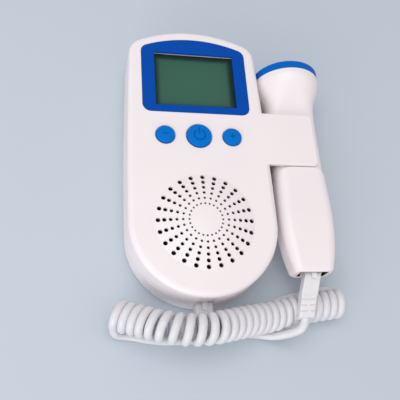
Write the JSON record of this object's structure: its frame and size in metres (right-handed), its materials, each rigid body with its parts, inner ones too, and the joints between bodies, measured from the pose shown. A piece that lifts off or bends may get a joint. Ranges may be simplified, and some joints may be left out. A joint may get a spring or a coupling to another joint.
{
  "type": "fetal doppler monitor",
  "caption": "Hand-held fetal doppler lying on its back: main unit with display, buttons and round speaker grille, curly cord, and an ultrasound probe clipped in a side holder.",
  "frame": {"origin": "on the back face of the main unit, under the centre of the speaker grille", "axes": "+X towards the probe, +Y towards the display end, +Z out of the front face"},
  "size_m": [0.1114, 0.1547, 0.0343],
  "materials": {
    "white_case": "moulded ABS, satin gloss",
    "bezel_blue": "moulded acrylic, deep blue, glossy",
    "clear_window": "clear acrylic",
    "lcd_glass": "grey-green display, off",
    "backlight": "milky light guide",
    "button_blue": "moulded, glossy",
    "black_plastic": "moulded, matt",
    "circuit_board": "glass fibre with green mask",
    "screw_steel": "zinc plated",
    "foam_gasket": "die-cut foam",
    "frame_steel": "pressed steel, plated",
    "cone_paper": "pressed paper",
    "magnet": "ferrite in a steel cup",
    "cell_jacket": "printed steel can, plain",
    "contact_nickel": "nickel plated",
    "plug_white": "clear-white moulded plug",
    "boot_white": "soft moulded strain relief",
    "cap_blue": "moulded, glossy",
    "crystal_ceramic": "fired ceramic, silvered",
    "backing_epoxy": "filled epoxy",
    "cord_white": "soft PVC jacket"
  },
  "bodies": {
    "root": {"front_shell": "white_case", "rear_shell": "white_case", "display_bezel": "bezel_blue", "display_window": "clear_window", "lcd_panel": "lcd_glass", "lcd_backlight": "backlight", "button_switches": "black_plastic", "main_board": "circuit_board", "board_chips": "black_plastic", "board_screws": "screw_steel", "case_screws": "screw_steel", "speaker_gasket": "foam_gasket", "speaker_frame": "frame_steel", "speaker_cone": "cone_paper", "speaker_magnet": "magnet", "battery_cell_left": "cell_jacket", "battery_cell_right": "cell_jacket", "battery_contacts_low": "contact_nickel", "battery_contacts_high": "contact_nickel", "battery_springs": "contact_nickel", "unit_socket": "black_plastic", "unit_plug": "plug_white", "unit_boot": "boot_white", "cord_lead_unit": "cord_white", "cord_coil": "cord_white", "cord_lead_probe": "cord_white"},
    "button_left": {"button_left": "button_blue"},
    "button_power": {"button_power": "button_blue"},
    "button_right": {"button_right": "button_blue"},
    "battery_door": {"battery_door": "white_case"},
    "probe": {"probe_plug": "plug_white", "probe_boot": "boot_white", "probe_socket": "black_plastic", "probe_front_shell": "white_case", "probe_rear_shell": "white_case", "probe_screws": "screw_steel", "probe_board": "circuit_board", "probe_cap": "cap_blue", "probe_crystals": "crystal_ceramic", "probe_backing": "backing_epoxy"}
  },
  "joints": [
    {"name": "button_left_press", "type": "slide", "parent": "root", "child": "button_left", "axis": [0, 0, -1], "range_m": [0, 0.0005], "stiffness_N_per_m": 400},
    {"name": "button_power_press", "type": "slide", "parent": "root", "child": "button_power", "axis": [0, 0, -1], "range_m": [0, 0.0005], "stiffness_N_per_m": 400},
    {"name": "button_right_press", "type": "slide", "parent": "root", "child": "button_right", "axis": [0, 0, -1], "range_m": [0, 0.0005], "stiffness_N_per_m": 400},
    {"name": "battery_door_hinge", "type": "hinge", "parent": "root", "child": "battery_door", "pos_m": [0, 0.0348, 0.0012], "axis": [-1, 0, 0], "range_deg": [0, 75]},
    {"name": "probe_slide", "type": "slide", "parent": "root", "child": "probe", "axis": [1, 0, 0], "range_m": [0, 0.03]}
  ]
}
